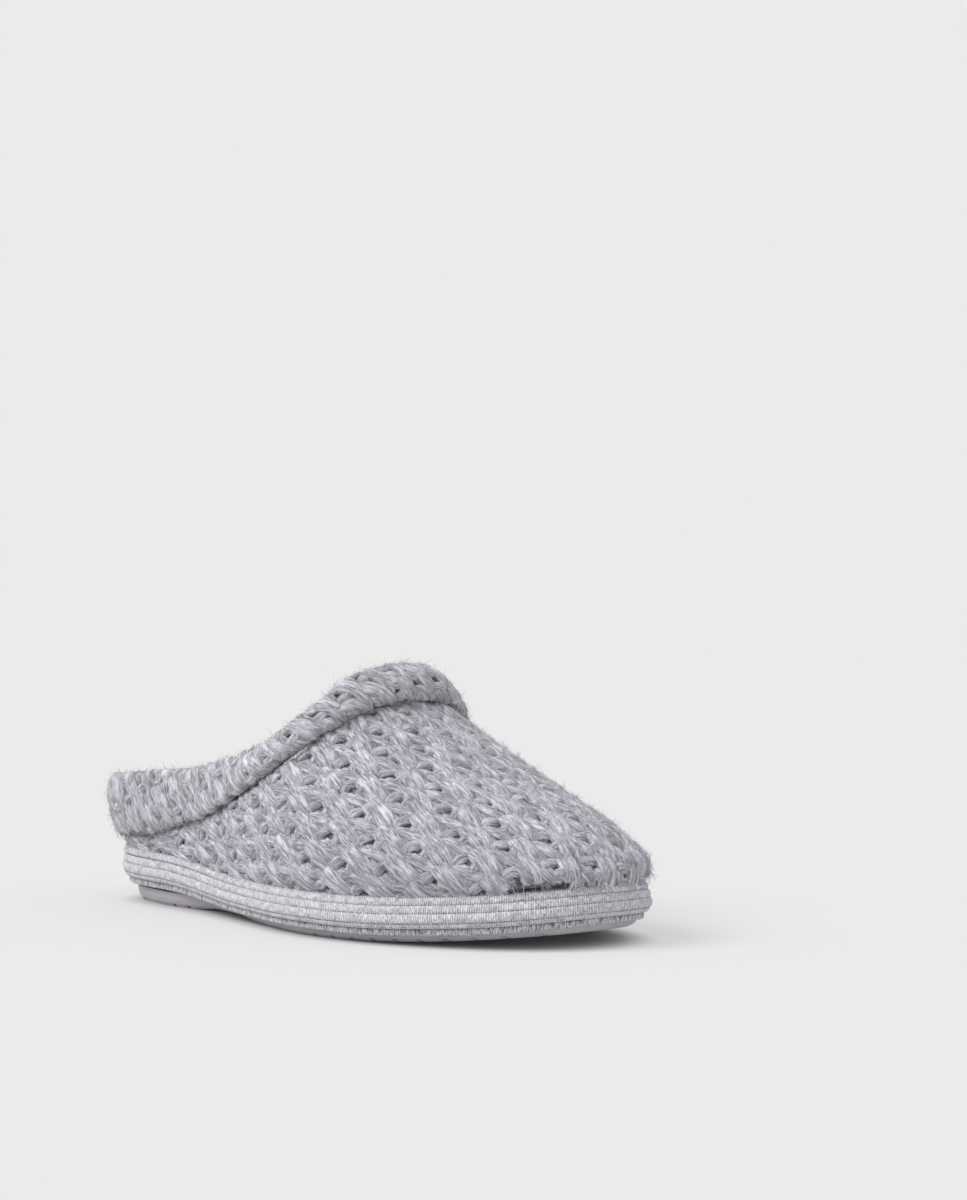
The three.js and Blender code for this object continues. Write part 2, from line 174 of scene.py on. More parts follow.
def upper_grid():
    """Stations, and the outer surface at each from a row tucked in below; nan where the foot enters."""
    stations = station_list()
    outer = np.full((len(stations), ROWS + 1, 3), np.nan)
    for a, (x, turn, _) in enumerate(stations):
        centre = np.array([x, axis_y(x), 0.0])
        flat = np.array([math.cos(turn), math.sin(turn), 0.0])
        foot = platform_height(centre[0], centre[1])
        for _ in range(2):
            hit, _ = cast(upper_tree, centre + flat * SIDE_RAY + (0, 0, foot + 2.5), -flat)
            inside = hit - flat * 2
            foot = platform_height(inside[0], inside[1]) or foot
        centre[2] = foot + FOOT_LIFT
        for b in range(ROWS + 1):
            rise = math.pi / 2 * b / ROWS
            away = flat * math.cos(rise) + np.array([0, 0, math.sin(rise)])
            point, normal = cast(upper_tree, centre + away * ROUND_RAY, -away)
            if point is None or (point - centre) @ away < 5 or normal @ away < 0.25:
                continue
            outer[a, b] = point - np.array([0, 0, toe_drop(point[0]) * max(0, 1 - b / 6)])
        first = 0 if not np.isnan(outer[a, 0, 0]) else 1
        drop = outer[a, first, 2] - foot + toe_drop(outer[a, first, 0])
        outer[a, 0] = outer[a, first] - flat * TUCK_IN - np.array([0, 0, drop + TUCK_DOWN])
    return stations, outer


def extend(grid, rounds):
    """Carries the surface on past its edge, in the line of the last two points."""
    for _ in range(rounds):
        known = ~np.isnan(grid[..., 0])
        total = np.zeros_like(grid)
        count = np.zeros(grid.shape[:2])
        for axis, step in ((0, 1), (0, -1), (1, 1)):
            near = np.roll(grid, step, axis)
            far = np.roll(grid, 2 * step, axis)
            fine = np.roll(known, step, axis) & np.roll(known, 2 * step, axis) & ~known
            edge = [slice(None)] * 2
            edge[axis] = slice(0, 2) if step > 0 else slice(-2, None)
            fine[tuple(edge)] = False
            guess = 2 * near - far
            total[fine] += guess[fine]
            count[fine] += 1
        new = count > 0
        grid[new] = total[new] / count[new][:, None]
    return grid


stations, outer = upper_grid()
extended = extend(outer.copy(), 1)
known = ~np.isnan(extended[..., 0])
count = len(stations)

# Vertex numbers: the two sides share their ridge points, the toe fan shares one.
number = np.full((count, ROWS + 1), -1)
points, top_ids = [], {}
for a, (x, turn, kind) in enumerate(stations):
    for b in range(ROWS + 1):
        if not known[a, b]:
            continue
        key = None
        if b == ROWS:
            key = "toe" if kind == "toe" or abs(x - SIDE_X[1]) < 1e-6 else round(x, 3)
        if key in top_ids and key is not None:
            number[a, b] = top_ids[key]
            continue
        number[a, b] = len(points)
        points.append(extended[a, b])
        if key is not None:
            top_ids[key] = number[a, b]
points = np.array(points)

triangles = []
for a in range(count - 1):
    for b in range(ROWS):
        i, j = number[a, b], number[a + 1, b]
        k, m = number[a + 1, b + 1], number[a, b + 1]
        for tri in ((i, j, k), (i, k, m)):
            if min(tri) >= 0 and len(set(tri)) == 3:
                triangles.append(tri)
triangles = np.array(triangles)

normals = np.zeros_like(points)
face_normals = np.cross(points[triangles[:, 1]] - points[triangles[:, 0]],
                        points[triangles[:, 2]] - points[triangles[:, 0]])
for corner in range(3):
    np.add.at(normals, triangles[:, corner], face_normals)
normals = unit(normals)


# Flat pattern of the upper, cut open at the back of the heel, with the least stretch.

def first_layout():
    """Rough flat places: the toe fans round one point and the sides run straight back."""
    flat = np.zeros((len(points), 2))
    arcs = np.zeros((count, ROWS + 1))
    for a in range(count):
        for b in range(ROWS, 0, -1):
            step = 5.5
            if known[a, b] and known[a, b - 1]:
                step = np.linalg.norm(extended[a, b] - extended[a, b - 1])
            arcs[a, b - 1] = arcs[a, b] + step
    for a, (x, turn, kind) in enumerate(stations):
        side = -1 if a < count / 2 else 1
        for b in range(ROWS + 1):
            if number[a, b] < 0:
                continue
            arc = arcs[a, b]
            if kind == "toe":
                place = (x + arc * math.cos(turn), arc * math.sin(turn))
            elif kind == "heel":
                back = abs(math.sin(turn))
                run = 55 * math.acos(min(back, 1.0))
                place = (x - run, side * arc)
            else:
                place = (x, side * arc)
            flat[number[a, b]] = place
    return flat


def flatten(flat, rounds=60):
    """As-rigid-as-possible layout of the surface triangles in the plane."""
    n = len(points)
    p = points[triangles]
    e1 = p[:, 1] - p[:, 0]
    e2 = p[:, 2] - p[:, 0]
    ex = unit(e1)
    ey = unit(np.cross(np.cross(e1, e2), e1))
    local = np.zeros((len(triangles), 3, 2))
    local[:, 1, 0] = np.linalg.norm(e1, axis=1)
    local[:, 2, 0] = (e2 * ex).sum(1)
    local[:, 2, 1] = (e2 * ey).sum(1)
    cot = np.zeros((len(triangles), 3))
    for c in range(3):
        u = p[:, (c + 1) % 3] - p[:, c]
        v = p[:, (c + 2) % 3] - p[:, c]
        cot[:, c] = (u * v).sum(1) / np.maximum(np.linalg.norm(np.cross(u, v), axis=1), 1e-6)
    cot = np.clip(cot, 0.05, 5)
    matrix = np.zeros((n, n))
    for c in range(3):
        i, j = triangles[:, (c + 1) % 3], triangles[:, (c + 2) % 3]
        np.add.at(matrix, (i, i), cot[:, c])
        np.add.at(matrix, (j, j), cot[:, c])
        np.add.at(matrix, (i, j), -cot[:, c])
        np.add.at(matrix, (j, i), -cot[:, c])
    matrix[0, 0] += 1.0
    solve = np.linalg.inv(matrix)
    for _ in range(rounds):
        cover = np.zeros((len(triangles), 2, 2))
        for c in range(3):
            i, j = (c + 1) % 3, (c + 2) % 3
            rest = local[:, i] - local[:, j]
            now = flat[triangles[:, i]] - flat[triangles[:, j]]
            cover += cot[:, c, None, None] * now[:, :, None] * rest[:, None, :]
        turn = np.arctan2(cover[:, 1, 0] - cover[:, 0, 1], cover[:, 0, 0] + cover[:, 1, 1])
        cos, sin = np.cos(turn), np.sin(turn)
        spin = np.stack([np.stack([cos, -sin], 1), np.stack([sin, cos], 1)], 1)
        right = np.zeros((n, 2))
        for c in range(3):
            i, j = (c + 1) % 3, (c + 2) % 3
            rest = local[:, i] - local[:, j]
            force = cot[:, c, None] * np.einsum("tab,tb->ta", spin, rest)
            np.add.at(right, triangles[:, i], force)
            np.add.at(right, triangles[:, j], -force)
        right[0] += flat[0]
        flat = solve @ right
    return flat


pattern = flatten(first_layout())
ridge = [number[a, ROWS] for a in range(count // 2) if number[a, ROWS] >= 0]
front, back = pattern[ridge[-1]], pattern[ridge[0]]
angle = math.atan2(*(front - back)[::-1])
spin = np.array([[math.cos(angle), math.sin(angle)], [-math.sin(angle), math.cos(angle)]])
pattern = (pattern - front) @ spin.T
pattern_tree = BVHTree.FromPolygons(
    np.column_stack([pattern, np.zeros(len(pattern))]).tolist(), triangles.tolist())


def on_upper(flat_points):
    """Place and normal on the upper of points of the flat pattern, and which are on it."""
    place = np.zeros((len(flat_points), 3))
    normal = np.zeros((len(flat_points), 3))
    inside = np.zeros(len(flat_points), bool)
    for k, (u, v) in enumerate(flat_points):
        near, _, index, distance = pattern_tree.find_nearest((u, v, 0.0))
        i, j, m = triangles[index]
        a, b, c = pattern[i], pattern[j], pattern[m]
        q = np.array(near[:2])
        area = (b[0] - a[0]) * (c[1] - a[1]) - (b[1] - a[1]) * (c[0] - a[0])
        wb = ((q[0] - a[0]) * (c[1] - a[1]) - (q[1] - a[1]) * (c[0] - a[0])) / area
        wc = ((b[0] - a[0]) * (q[1] - a[1]) - (b[1] - a[1]) * (q[0] - a[0])) / area
        wa = 1 - wb - wc
        place[k] = wa * points[i] + wb * points[j] + wc * points[m]
        normal[k] = wa * normals[i] + wb * normals[j] + wc * normals[m]
        inside[k] = distance < 0.01
    return place, unit(normal), inside


# Materials.

def new_material(name):
    material = bpy.data.materials.new(name)
    material.use_nodes = True
    tree = material.node_tree
    shader = tree.nodes["Principled BSDF"]
    return material, tree, shader


def node(tree, kind, **settings):
    made = tree.nodes.new(kind)
    for key, value in settings.items():
        if key.startswith("in_"):
            made.inputs[key[3:].replace("_", " ")].default_value = value
        else:
            setattr(made, key, value)
    return made


def ramp(tree, source, stops):
    made = tree.nodes.new("ShaderNodeValToRGB")
    while len(made.color_ramp.elements) < len(stops):
        made.color_ramp.elements.new(0.5)
    for element, (place, colour) in zip(made.color_ramp.elements, stops):
        element.position = place
        element.color = (*colour, 1)
    tree.links.new(source, made.inputs["Fac"])
    return made.outputs["Color"]


def mix(tree, blend, factor, first, second):
    made = node(tree, "ShaderNodeMix", data_type="RGBA", blend_type=blend)
    for socket, value in ((0, factor), (6, first), (7, second)):
        if isinstance(value, bpy.types.NodeSocket):
            tree.links.new(value, made.inputs[socket])
        elif socket == 0:
            made.inputs[0].default_value = value
        else:
            made.inputs[socket].default_value = (*value, 1)
    return made.outputs[2]


def stretched_noise(tree, coordinates, scale, detail=2.0, size=1.0):
    mapping = node(tree, "ShaderNodeMapping")
    mapping.inputs["Scale"].default_value = scale
    tree.links.new(coordinates, mapping.inputs["Vector"])
    noise = node(tree, "ShaderNodeTexNoise", in_Scale=size, in_Detail=detail)
    tree.links.new(mapping.outputs["Vector"], noise.inputs["Vector"])
    return noise.outputs["Fac"]


def bump(tree, shader, height, strength, distance):
    made = node(tree, "ShaderNodeBump", in_Strength=strength, in_Distance=distance)
    tree.links.new(height, made.inputs["Height"])
    tree.links.new(made.outputs["Normal"], shader.inputs["Normal"])


def add(tree, first, second, operation="ADD", second_value=None):
    made = node(tree, "ShaderNodeMath", operation=operation)
    tree.links.new(first, made.inputs[0])
    if second is not None:
        tree.links.new(second, made.inputs[1])
    else:
        made.inputs[1].default_value = second_value
    return made.outputs[0]


def weighted(tree, first, first_share, second, second_share):
    return add(tree, add(tree, first, None, "MULTIPLY", first_share),
               add(tree, second, None, "MULTIPLY", second_share))


def sine_wave(tree, along, pitch):
    """Wave from -1 to 1 along a coordinate."""
    wave = node(tree, "ShaderNodeMath", operation="SINE")
    tree.links.new(add(tree, along, None, "MULTIPLY", 2 * math.pi / pitch), wave.inputs[0])
    return wave.outputs[0]


def lifted(tree, wave):
    """A wave from -1 to 1, brought to 0 to 1."""
    return add(tree, add(tree, wave, None, "MULTIPLY", 0.5), None, "ADD", 0.5)


def yarn_material(name, dark, middle, light):
    """Soft acrylic yarn: streaks of fibre run along the strand, flecks are scattered over it."""
    material, tree, shader = new_material(name)
    uv = node(tree, "ShaderNodeTexCoord").outputs["UV"]
    coarse = stretched_noise(tree, uv, (0.13, 1.0, 1), 1.0)
    fine = stretched_noise(tree, uv, (0.3, 2.3, 1), 2.0)
    streaks = weighted(tree, coarse, 0.45, fine, 0.55)
    colour = ramp(tree, streaks, [(0.41, dark), (0.5, middle), (0.6, light)])
    place = node(tree, "ShaderNodeTexCoord").outputs["Object"]
    fleck = stretched_noise(tree, place, (1, 1, 1), 1.0, 420.0)
    fleck_mask = ramp(tree, fleck, [(0.0, (0, 0, 0)), (0.7, (0, 0, 0)), (0.8, (0.5, 0.5, 0.5))])
    colour = mix(tree, "MIX", fleck_mask, colour, (0.42, 0.33, 0.32))
    # Multiplies in the tone attribute: a random tone per strand, and painted shade on each tube's
    # underside.
    tone = node(tree, "ShaderNodeAttribute", attribute_name="tone")
    colour = mix(tree, "MULTIPLY", 1.0, colour, tone.outputs["Color"])
    tree.links.new(colour, shader.inputs["Base Color"])
    shader.inputs["Roughness"].default_value = 0.92
    shader.inputs["Specular IOR Level"].default_value = 0.2
    shader.inputs["Sheen Weight"].default_value = 0.25
    shader.inputs["Sheen Roughness"].default_value = 0.5
    bump(tree, shader, streaks, 1.0, 0.0011)
    return material


KNIT_DARK, KNIT_MIDDLE, KNIT_LIGHT = (0.25, 0.242, 0.27), (0.42, 0.41, 0.455), (0.66, 0.645, 0.71)
upper_yarn = yarn_material("upper_yarn", KNIT_DARK, KNIT_MIDDLE, KNIT_LIGHT)
cuff_yarn = yarn_material("cuff_yarn", (0.24, 0.232, 0.258), (0.42, 0.41, 0.45),
                          (0.66, 0.645, 0.705))


def cloth_material(name, first, second, scale, strength):
    material, tree, shader = new_material(name)
    place = node(tree, "ShaderNodeTexCoord").outputs["Object"]
    pile = stretched_noise(tree, place, (1, 1, 1), 3.0, scale)
    blotch = stretched_noise(tree, place, (1, 1, 1), 2.0, scale / 12)
    both = weighted(tree, pile, 0.6, blotch, 0.4)
    tree.links.new(ramp(tree, both, [(0.35, first), (0.65, second)]), shader.inputs["Base Color"])
    shader.inputs["Roughness"].default_value = 0.95
    shader.inputs["Specular IOR Level"].default_value = 0.15
    shader.inputs["Sheen Weight"].default_value = 0.3
    bump(tree, shader, pile, strength, 0.0006)
    return material


# Dark backing behind the knit: painted shade that shows through the holes between the strands.
painted_shade_backing = cloth_material("painted_shade_backing", (0.13, 0.127, 0.138), (0.21, 0.206, 0.222),
                               900, 0.5)
lining_cloth = cloth_material("lining_cloth", (0.27, 0.25, 0.25), (0.42, 0.395, 0.4), 1100, 0.8)
footbed_cloth = cloth_material("footbed_cloth", (0.36, 0.35, 0.36), (0.5, 0.485, 0.5), 1300, 0.7)


# Yarn strands laid over the flat pattern.

WAVE = 18.5
COURSE = 9.8
SHIFT = -8.4
LEAN = -0.62
CUFF_LEAN = -1.25
GRAIN = math.radians(20)
SINK = -1.3
STRAND_FLATNESS = 0.66
KNOT_JITTER = 0.22
START_DIP = 1.3
END_DIP = 1.1
DIP_SHARE = 0.16
BACKING_DEPTH = 2.1
LINING_DEPTH = 4.4

# One cell of the stitch, from the left pinhole. For each strand: flat places, half width, rise
# above the surface, and whether it is a cross loop.
STITCH = (
    (((-5.4, 3.9), (-1.6, 3.0), (2.6, 2.3), (6.6, 1.5), (9.6, -0.4)), 2.1, 0.05, False),
    (((4.6, 2.9), (8.4, -0.3), (11.6, -3.9), (13.4, -7.4)), 2.35, 0.1, False),
    (((8.2, 5.2), (12.2, 2.2), (15.4, -1.5), (17.2, -5.0)), 2.35, 0.1, False),
    (((-1.5, -5.2), (0.4, -3.3), (3.0, -1.7), (5.6, -0.7)), 2.0, 0.15, True),
    (((5.3, -6.6), (6.7, -4.4), (8.4, -2.6), (9.8, -1.4)), 1.9, 0.1, True),
    (((0.8, -4.6), (3.0, -5.9), (5.8, -6.2), (8.6, -5.2)), 1.75, -0.05, True),
    (((-2.6, 1.0), (-1.0, -0.3), (0.4, -1.6), (1.4, -3.0)), 1.5, -0.55, True),
)


def smooth_path(knots, count):
    """Catmull-Rom curve through a few places, evenly spaced."""
    k = np.array(knots, float)
    k = np.vstack([2 * k[0] - k[1], k, 2 * k[-1] - k[-2]])
    out = []
    for i in range(1, len(k) - 2):
        t = np.linspace(0, 1, 8, endpoint=i == len(k) - 3)[:, None]
        out.append(0.5 * (2 * k[i] + (k[i + 1] - k[i - 1]) * t
                          + (2 * k[i - 1] - 5 * k[i] + 4 * k[i + 1] - k[i + 2]) * t ** 2
                          + (3 * k[i] - k[i - 1] - 3 * k[i + 1] + k[i + 2]) * t ** 3))
    path = np.concatenate(out)
    length = np.concatenate([[0], np.cumsum(np.linalg.norm(np.diff(path, axis=0), axis=1))])
    at = np.linspace(0, length[-1], count)
    return np.stack([np.interp(at, length, path[:, c]) for c in range(2)], 1)


def cell_paths(random, lean):
    """Strands of one cell: flat path, height, half width and whether it is a cross loop."""
    paths = []
    for knots, width, rise, loop in STITCH:
        count = 9 if loop else 13
        jitter = random.normal(0, KNOT_JITTER, (len(knots), 2))
        path = smooth_path(np.array(knots) + jitter, count)
        share = np.linspace(0, 1, count)
        dive = (-START_DIP * np.exp(-(share / DIP_SHARE) ** 2)
                - END_DIP * np.exp(-((1 - share) / DIP_SHARE) ** 2))
        wide = width * random.uniform(0.98, 1.14) * (0.72 + 0.28 * np.sin(np.pi * share))
        height = rise + dive + random.normal(0, 0.12)
        paths.append((path[:, 0] + lean * path[:, 1], path[:, 1], height, wide, loop))
    return paths


def tube_set(name, strands, material, sides):
    """One mesh of yarn tubes; a strand holds centres, normals, half widths, tone and flatness."""
    turns = np.linspace(0, 2 * np.pi, sides, endpoint=False) + np.pi / 2
    all_points, all_faces, all_uv, all_tone_and_shade = [], [], [], []
    base = 0
    for centres, ups, widths, tone, flatness in strands:
        k = len(centres)
        along = unit(np.gradient(centres, axis=0))
        across = unit(np.cross(ups, along))
        ups = unit(np.cross(along, across))
        ends = np.ones(k)
        ends[0] = ends[-1] = 0.55
        wide = (widths * ends)[:, None, None]
        ring = (across[:, None, :] * np.cos(turns)[None, :, None]
                + ups[:, None, :] * np.sin(turns)[None, :, None] * flatness)
        tube = centres[:, None, :] + ring * wide
        length = np.concatenate([[0], np.cumsum(np.linalg.norm(np.diff(centres, axis=0), axis=1))])
        u = np.repeat(length[:, None] + rng.uniform(0, 400), sides, 1)
        v = np.repeat((np.abs(turns - 1.5 * np.pi) * 1.6)[None, :], k, 0) + rng.uniform(0, 400)
        faces = grid_faces(k, sides, close_columns=True) + base
        all_points.append(tube.reshape(-1, 3))
        all_uv.append(np.stack([u, v], -1).reshape(-1, 2))
        # Painted shade: each tube is darker on its underside, down to 0.78 of its tone.
        shade = tone * np.repeat((0.78 + 0.22 * np.clip(np.sin(turns) + 0.55, 0, 1))[None, :], k, 0)
        all_tone_and_shade.append(shade.ravel())
        all_faces.append(faces)
        base += k * sides
    return make_piece(name, np.concatenate(all_points), np.concatenate(all_faces), material,
                      np.concatenate(all_uv), np.concatenate(all_tone_and_shade))


def longest_run(inside):
    best, start = (0, 0), None
    for k, fine in enumerate([*inside, False]):
        if fine and start is None:
            start = k
        if not fine and start is not None:
            if k - start > best[1] - best[0]:
                best = (start, k)
            start = None
    return best


def lay_knit(cells, locate, lean):
    """Strands of all cells, placed on a surface by locate and cut where the surface ends."""
    long_strands, loops = [], []
    for u0, v0, stretch in cells:
        for u, v, height, wide, loop in cell_paths(rng, lean):
            flat = np.column_stack([u0 + u, v0 + v * stretch])
            place, up, inside = locate(flat)
            a, b = longest_run(inside)
            if b - a < 3:
                continue
            t = np.linspace(a, b - 1, len(u) if b - a > len(u) * 0.6 else max(6, (b - a)))
            index = np.arange(len(u))
            pick = lambda x: np.stack([np.interp(t, index, x[:, c]) for c in range(3)], 1)
            lift = np.interp(t, index, height) + SINK
            centres = pick(place) + pick(up) * lift[:, None]
            tone = rng.uniform(0.93, 1.07)
            strand = (centres, unit(pick(up)), np.interp(t, index, wide), tone, STRAND_FLATNESS)
            (loops if loop else long_strands).append(strand)
    return long_strands, loops


GRAIN_TURN = np.array([[math.cos(GRAIN), -math.sin(GRAIN)], [math.sin(GRAIN), math.cos(GRAIN)]])


def on_grain(flat_points):
    """Like on_upper, for places given along and across the grain of the knit."""
    return on_upper(flat_points @ GRAIN_TURN.T)


def upper_cells():
    turned = pattern @ GRAIN_TURN
    low, high = turned.min(0), turned.max(0)
    cells = []
    for r in range(int(low[1] // COURSE) - 1, int(high[1] // COURSE) + 2):
        offset = (r * SHIFT) % WAVE
        for k in range(int(low[0] // WAVE) - 2, int(high[0] // WAVE) + 2):
            u0 = k * WAVE + offset
            v0 = r * COURSE
            u0 += 0.9 * math.sin(v0 / 21.0 + 1.0) + 0.5 * math.sin(u0 / 33.0)
            v0 += 0.8 * math.sin(u0 / 27.0)
            cells.append((u0, v0, 1.0))
    return cells


knit_long, knit_loops = lay_knit(upper_cells(), on_grain, LEAN)
upper_strands = tube_set("upper_strands", knit_long, upper_yarn, 8)
upper_loops = tube_set("upper_loops", knit_loops, upper_yarn, 8)


# Backing and lining of the upper; the backing's dark colour is painted shade.

def shell_piece():
    """Thin shell behind the knit: dark outer side, painted shade that shows through the holes of the
    knit, lining inside.
    """
    n = len(points)
    outside = points - normals * BACKING_DEPTH
    inside = points - normals * LINING_DEPTH
    verts = np.concatenate([outside, inside])
    faces = [tuple(t) for t in triangles] + [(t[2] + n, t[1] + n, t[0] + n) for t in triangles]
    edges = dict.fromkeys((t[c], t[(c + 1) % 3]) for t in triangles for c in range(3))
    for a, b in edges:
        if (b, a) not in edges:
            faces.append((b, a, a + n))
            faces.append((b, a + n, b + n))
    piece = make_piece("upper_lining", verts, faces, painted_shade_backing)
    piece.data.materials.append(lining_cloth)
    slots = np.zeros(len(faces), dtype=np.int32)
    slots[len(triangles):2 * len(triangles)] = 1
    piece.data.polygons.foreach_set("material_index", slots)
    return piece


upper_lining = shell_piece()


# Cuff: sections across the CAD ring, taken square to its middle line.

CUFF_STATIONS = 168
CUFF_TURNS = 40
CUFF_COLUMN = 11.2
CUFF_SHIFT = 15.4
CORE_DEPTH = 2.3
CORE_DEPTH_AT_SEAM = 0.7
FULL_GIRTH = 62.0
CUT_REACH = 26
WALL_REACH = 30


def section_centre(origin, direction):
    """Middle of the cuff's cut by a plane, near a point."""
    p = cuff_points[cuff_triangles]
    side = (p - origin) @ direction
    sign = np.sign(side)
    middles, weights = [], []
    for a, b, c in ((0, 1, 2), (1, 2, 0), (2, 0, 1)):
        lone = (sign[:, a] != sign[:, b]) & (sign[:, a] != sign[:, c])
        sa, sb, sc = side[lone, a], side[lone, b], side[lone, c]
        q1 = p[lone, a] + (p[lone, b] - p[lone, a]) * (sa / (sa - sb))[:, None]
        q2 = p[lone, a] + (p[lone, c] - p[lone, a]) * (sa / (sa - sc))[:, None]
        middles.append((q1 + q2) / 2)
        weights.append(np.linalg.norm(q2 - q1, axis=1))
    middles, weights = np.concatenate(middles), np.concatenate(weights)
    near = np.linalg.norm(middles - origin, axis=1) < CUT_REACH
    return (middles[near] * weights[near, None]).sum(0) / weights[near].sum()


def cuff_line():
    """Closed middle line of the cuff, evenly spaced."""
    hub = (np.min(cuff_points, 0) + np.max(cuff_points, 0)) / 2
    polar = np.arctan2(cuff_points[:, 1] - hub[1], (cuff_points[:, 0] - hub[0]) * 0.55)
    line = []
    for turn in np.linspace(-np.pi, np.pi, 72, endpoint=False):
        gap = np.abs((polar - turn + np.pi) % (2 * np.pi) - np.pi)
        line.append(cuff_points[gap < 0.12].mean(0))
    line = np.array(line)
    for _ in range(4):
        ahead, behind = np.roll(line, -1, 0), np.roll(line, 1, 0)
        direction = unit(ahead - behind)
        line = np.array([section_centre(o, d) for o, d in zip(line, direction)])
        line = (np.roll(line, 1, 0) + 2 * line + np.roll(line, -1, 0)) / 4
    return resample_loop(line, CUFF_STATIONS)


def resample_loop(line, count):
    closed = np.vstack([line, line[:1]])
    length = np.concatenate([[0], np.cumsum(np.linalg.norm(np.diff(closed, axis=0), axis=1))])
    target = np.linspace(0, length[-1], count, endpoint=False)
    return np.stack([np.interp(target, length, closed[:, c]) for c in range(closed.shape[1])], 1)


def cuff_grid():
    """Surface of the cuff: rows are stations along it, columns turn from its foot out and over."""
    line = cuff_line()
    direction = unit(np.roll(line, -1, 0) - np.roll(line, 1, 0))
    for _ in range(3):
        direction = unit(np.roll(direction, 1, 0) + 2 * direction + np.roll(direction, -1, 0))
    outward = unit(np.cross(direction, [0, 0, 1.0]))
    upward = unit(np.cross(outward, direction))
    grid = np.full((CUFF_STATIONS, CUFF_TURNS, 3), np.nan)
    for i in range(CUFF_STATIONS):
        for j in range(CUFF_TURNS):
            turn = 2 * np.pi * j / CUFF_TURNS - np.pi / 2
            away = outward[i] * math.cos(turn) + upward[i] * math.sin(turn)
            hit, _ = cast(cuff_tree, line[i], away)
            if hit is not None and np.linalg.norm(hit - line[i]) < WALL_REACH:
                grid[i, j] = hit
    for j in range(CUFF_TURNS):
        column = grid[:, j]
        bad = np.isnan(column[:, 0])
        if bad.any():
            index = np.arange(CUFF_STATIONS)
            for c in range(3):
                column[bad, c] = np.interp(index[bad], index[~bad], column[~bad, c],
                                           period=CUFF_STATIONS)
    for _ in range(2):
        grid = (np.roll(grid, 1, 0) + 2 * grid + np.roll(grid, -1, 0)) / 4
    return line, grid


cuff_middle, cuff_surface = cuff_grid()


# Knit of the cuff: its waves run across it, from the seam over the top to the inside.

cuff_steps = np.linalg.norm(np.roll(cuff_middle, -1, 0) - cuff_middle, axis=1)
cuff_run = np.concatenate([[0], np.cumsum(cuff_steps)])
CUFF_ROUND = cuff_run[-1]
closed_surface = np.concatenate([cuff_surface, cuff_surface[:, :1]], 1)
girth_steps = np.linalg.norm(np.diff(closed_surface, axis=1), axis=2)
cuff_girth = np.concatenate([np.zeros((CUFF_STATIONS, 1)), np.cumsum(girth_steps, 1)], 1)
cuff_normal = unit(np.cross(np.roll(cuff_surface, -1, 0) - np.roll(cuff_surface, 1, 0),
                            np.roll(cuff_surface, -1, 1) - np.roll(cuff_surface, 1, 1)))
if ((cuff_normal * (cuff_surface - cuff_middle[:, None])).sum(-1)).mean() < 0:
    cuff_normal = -cuff_normal
closed_normal = np.concatenate([cuff_normal, cuff_normal[:, :1]], 1)
CUFF_SIDE = CUFF_TURNS // 4


def on_cuff(flat_points):
    """Place and normal on the cuff: first number up the cuff from mid height, second along it."""
    climb, run = flat_points[:, 0], flat_points[:, 1] % CUFF_ROUND
    station = np.interp(run, cuff_run, np.arange(CUFF_STATIONS + 1))
    place, normal = np.zeros((len(climb), 3)), np.zeros((len(climb), 3))
    inside = np.ones(len(climb), bool)
    for k, (s, rise) in enumerate(zip(station, climb)):
        low = int(s) % CUFF_STATIONS
        high = (low + 1) % CUFF_STATIONS
        t = s - int(s)
        girth = cuff_girth[low] * (1 - t) + cuff_girth[high] * t
        scale = np.clip(math.sqrt(girth[-1] / FULL_GIRTH), 0.72, 1.05)
        at = girth[CUFF_SIDE] + rise * scale
        inside[k] = 0.5 < at < girth[-1] - 1.5
        column = np.interp(at, girth, np.arange(CUFF_TURNS + 1))
        j = min(int(column), CUFF_TURNS - 1)
        f = column - j
        for source, target in ((closed_surface, place), (closed_normal, normal)):
            first = source[low, j] * (1 - t) + source[high, j] * t
            second = source[low, j + 1] * (1 - t) + source[high, j + 1] * t
            target[k] = first * (1 - f) + second * f
    return place, unit(normal), inside


def cuff_cells():
    columns = round(CUFF_ROUND / CUFF_COLUMN)
    width = CUFF_ROUND / columns
    shift = -WAVE * round(CUFF_SHIFT * columns / WAVE) / columns
    cells = []
    for column in range(columns):
        for wave in range(-3, 4):
            climb = wave * WAVE + (column * shift) % WAVE + rng.normal(0, 0.5)
            cells.append((climb, column * width, width / COURSE))
    return cells


cuff_long, cuff_loops = lay_knit(cuff_cells(), on_cuff, CUFF_LEAN)
cuff_strands = tube_set("cuff_strands", cuff_long, cuff_yarn, 8)
cuff_loop_piece = tube_set("cuff_loops", cuff_loops, cuff_yarn, 8)
# Dark core under the cuff's strands: painted shade that shows between them.
low_side = np.clip(np.cos(2 * np.pi * np.arange(CUFF_TURNS) / CUFF_TURNS), 0, 1)[None, :, None]
core = cuff_surface - cuff_normal * (CORE_DEPTH + (CORE_DEPTH_AT_SEAM - CORE_DEPTH) * low_side)
cuff_core = make_piece("cuff_core", core.reshape(-1, 3),
                       grid_faces(CUFF_STATIONS, CUFF_TURNS, True, True), painted_shade_backing)


# Loose fibres that stand off the yarn.

FIBRE_WIDTH = 0.13
FIBRE_LENGTH = (2.5, 6.0)
FIBRE_SEAT = 0.86


